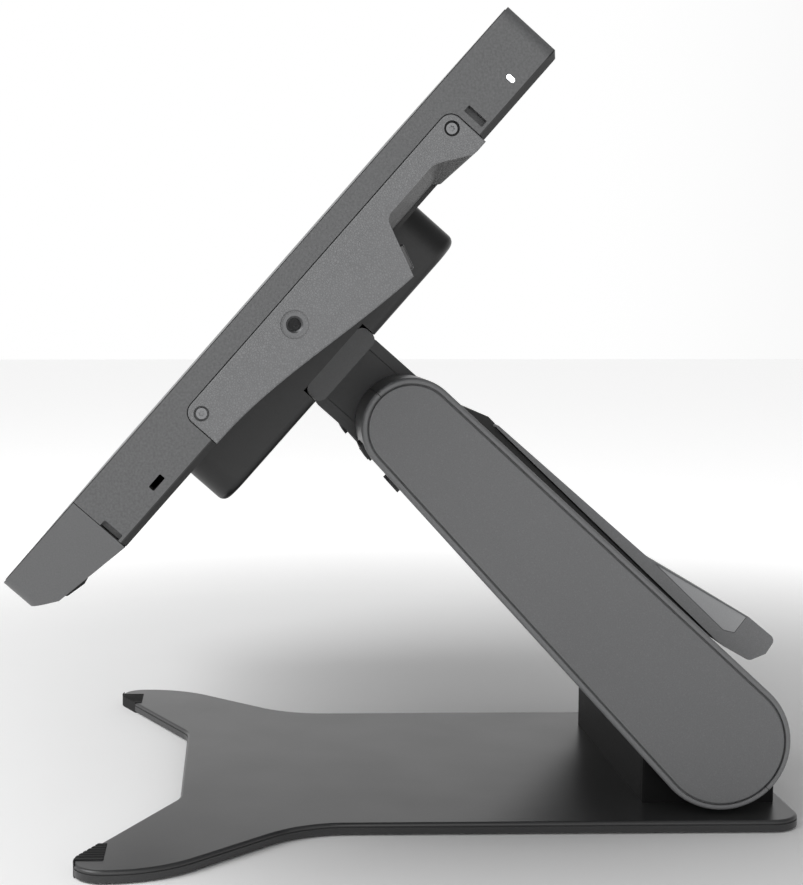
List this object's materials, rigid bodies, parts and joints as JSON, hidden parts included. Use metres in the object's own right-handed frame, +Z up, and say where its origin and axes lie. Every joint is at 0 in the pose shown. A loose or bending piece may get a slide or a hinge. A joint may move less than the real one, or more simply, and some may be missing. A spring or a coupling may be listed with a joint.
{
  "type": "pen display tablet on adjustable stand",
  "caption": "Flat pen display with side grips, back keys and a rear housing, on a folding arm stand with a forked base plate and a release lever.",
  "frame": {"origin": "on the table, under the base plate's rubber pad, midway across the object and near mid-depth", "axes": "+X across to the side that faces the viewer of the side view, -Y towards the user, +Z up"},
  "size_m": [0.486, 0.3776, 0.3772],
  "materials": {
    "plate_paint": "fine satin powder coat",
    "black_rubber": "matt",
    "post_plastic": "fine moulded texture",
    "arm_plastic": "fine moulded texture",
    "arm_cover": "smooth satin paint",
    "spine_plastic": "moulded",
    "lever_metal": "satin paint",
    "lever_inlay": "smooth",
    "neck_plastic": "fine moulded texture",
    "steel": "turned",
    "dark_screw": "black oxide",
    "bronze": "sintered",
    "cast_alloy": "as cast",
    "cover_glass": "etched anti-glare",
    "panel_stack": "display layers",
    "backlight_film": "diffuser film",
    "frame_paint": "coarse sprayed texture",
    "cap_plastic": "fine texture",
    "rear_plastic": "fine texture",
    "grip_skin": "leather-like grain",
    "key_plastic": "polished edges",
    "status_lens": "clear diffuser",
    "board": "solder mask",
    "fan_plastic": "moulded"
  },
  "bodies": {
    "base": {"base_pad": "black_rubber", "base_plate": "plate_paint", "prong_pads": "black_rubber", "post_shell": "post_plastic", "post_caps": "post_plastic", "post_core": "cast_alloy", "base_screws": "dark_screw", "lower_bushes": "bronze", "lift_springs": "steel"},
    "arm": {"arm_front_shell": "arm_plastic", "arm_rear_shell": "arm_plastic", "arm_cover_left": "arm_cover", "arm_cover_right": "arm_cover", "arm_frame": "cast_alloy", "lower_shaft": "steel", "upper_shaft": "steel", "spine_cover": "spine_plastic", "lever_pin": "steel", "lever_spring": "steel", "arm_bumpers": "black_rubber"},
    "lever": {"release_lever": "lever_metal", "lever_inlays": "lever_inlay"},
    "neck": {"neck_block": "neck_plastic", "neck_panels": "neck_plastic", "upper_bushes": "bronze", "swivel_pin": "steel"},
    "display": {"mount_bracket": "neck_plastic", "bracket_screws": "dark_screw", "cover_glass": "cover_glass", "display_panel": "panel_stack", "backlight": "backlight_film", "digitizer_board": "board", "mid_frame": "cast_alloy", "side_frame": "frame_paint", "status_lens": "status_lens", "bottom_cap": "cap_plastic", "cap_feet": "black_rubber", "rear_cover": "rear_plastic", "rear_housing": "rear_plastic", "top_grille": "fan_plastic", "low_grille": "fan_plastic", "port_panel": "fan_plastic", "main_board": "board", "heat_sink": "cast_alloy", "fan_housing": "fan_plastic", "grip_right": "grip_skin", "grip_left": "grip_skin", "grip_screws": "dark_screw", "grip_inserts": "steel"},
    "fan": {"fan_rotor": "fan_plastic"},
    "power": {"power_button": "key_plastic"},
    "key_right_1": {"key_right_1": "key_plastic"},
    "key_right_2": {"key_right_2": "key_plastic"},
    "key_right_3": {"key_right_3": "key_plastic"},
    "key_right_4": {"key_right_4": "key_plastic"},
    "key_left_1": {"key_left_1": "key_plastic"},
    "key_left_2": {"key_left_2": "key_plastic"},
    "key_left_3": {"key_left_3": "key_plastic"},
    "key_left_4": {"key_left_4": "key_plastic"}
  },
  "joints": [
    {"name": "arm_lift", "type": "hinge", "parent": "base", "child": "arm", "pos_m": [0, 0.1464, 0.0439], "axis": [-1, 0, 0], "range_deg": [-15, 30]},
    {"name": "head_tilt", "type": "hinge", "parent": "arm", "child": "neck", "pos_m": [0, -0.01052, 0.20192], "axis": [1, 0, 0], "range_deg": [-25, 25]},
    {"name": "display_turn", "type": "hinge", "parent": "neck", "child": "display", "pos_m": [0, -0.04122, 0.22895], "axis": [0, -0.7505, 0.6609], "range_deg": [-20, 20]},
    {"name": "lever_pull", "type": "hinge", "parent": "arm", "child": "lever", "pos_m": [0, 0.04006, 0.19507], "axis": [1, 0, 0], "range_deg": [0, 8], "stiffness_Nm_per_rad": 10, "springref_deg": -11.46},
    {"name": "fan_spin", "type": "hinge", "parent": "display", "child": "fan", "pos_m": [0.08, -0.04715, 0.2555], "axis": [0, 0.7505, -0.6609], "continuous": true},
    {"name": "power_press", "type": "slide", "parent": "display", "child": "power", "axis": [0, -0.6609, -0.7505], "range_m": [0, 0.0008], "stiffness_N_per_m": 400, "springref_m": -0.0005},
    {"name": "key_right_1_press", "type": "slide", "parent": "display", "child": "key_right_1", "axis": [0, -0.9056, -0.4241], "range_m": [0, 0.0009], "stiffness_N_per_m": 400, "springref_m": -0.0005},
    {"name": "key_right_2_press", "type": "slide", "parent": "display", "child": "key_right_2", "axis": [0, -0.9056, -0.4241], "range_m": [0, 0.0009], "stiffness_N_per_m": 400, "springref_m": -0.0005},
    {"name": "key_right_3_press", "type": "slide", "parent": "display", "child": "key_right_3", "axis": [0, -0.9056, -0.4241], "range_m": [0, 0.0009], "stiffness_N_per_m": 400, "springref_m": -0.0005},
    {"name": "key_right_4_press", "type": "slide", "parent": "display", "child": "key_right_4", "axis": [0, -0.9056, -0.4241], "range_m": [0, 0.0009], "stiffness_N_per_m": 400, "springref_m": -0.0005},
    {"name": "key_left_1_press", "type": "slide", "parent": "display", "child": "key_left_1", "axis": [0, -0.9056, -0.4241], "range_m": [0, 0.0009], "stiffness_N_per_m": 400, "springref_m": -0.0005},
    {"name": "key_left_2_press", "type": "slide", "parent": "display", "child": "key_left_2", "axis": [0, -0.9056, -0.4241], "range_m": [0, 0.0009], "stiffness_N_per_m": 400, "springref_m": -0.0005},
    {"name": "key_left_3_press", "type": "slide", "parent": "display", "child": "key_left_3", "axis": [0, -0.9056, -0.4241], "range_m": [0, 0.0009], "stiffness_N_per_m": 400, "springref_m": -0.0005},
    {"name": "key_left_4_press", "type": "slide", "parent": "display", "child": "key_left_4", "axis": [0, -0.9056, -0.4241], "range_m": [0, 0.0009], "stiffness_N_per_m": 400, "springref_m": -0.0005}
  ]
}
